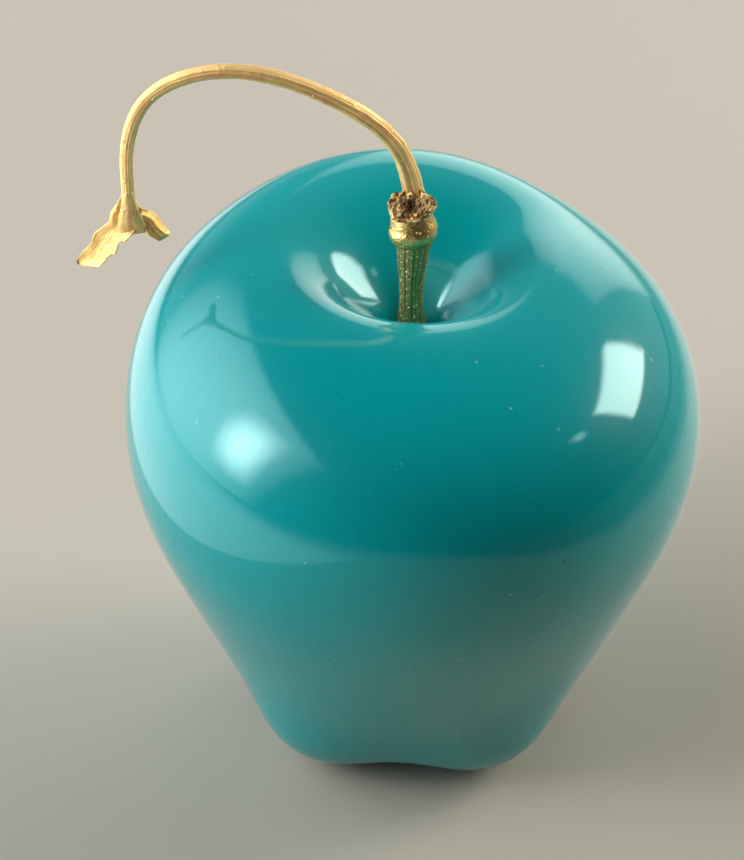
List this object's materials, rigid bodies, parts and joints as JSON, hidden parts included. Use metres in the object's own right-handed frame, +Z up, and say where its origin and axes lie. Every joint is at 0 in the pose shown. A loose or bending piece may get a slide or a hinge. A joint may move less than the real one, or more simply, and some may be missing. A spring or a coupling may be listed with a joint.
{
  "type": "art glass apple",
  "caption": "Opaque turquoise glass apple with a lobed foot and a gilt metal stem that arches from the hollow crown over to a leafy tip; a paperweight or shelf ornament",
  "frame": {"origin": "on the apple's axis, on the surface that its ground foot stands on", "axes": "+Z up along the axis, -Y the front as seen in the picture, -X the side that the stem arches over to"},
  "size_m": [0.0913, 0.0848, 0.1147],
  "materials": {
    "turquoise_glass": "opaque, fire polished, glossy",
    "cured_adhesive": "cured clear resin",
    "brass_peg": "plain drawn rod",
    "gilt_metal": "satin gilt, worn bright on the ridges",
    "dark_gilt": "rough, darkened gilt"
  },
  "bodies": {
    "root": {"glass_body": "turquoise_glass", "peg_adhesive": "cured_adhesive", "stem_peg": "brass_peg", "stem_spur": "gilt_metal", "spur_knuckle": "gilt_metal", "bud_scar": "dark_gilt", "pedicel_arch": "gilt_metal", "tip_fork": "gilt_metal", "large_bract": "gilt_metal", "small_bract": "gilt_metal"}
  },
  "joints": []
}
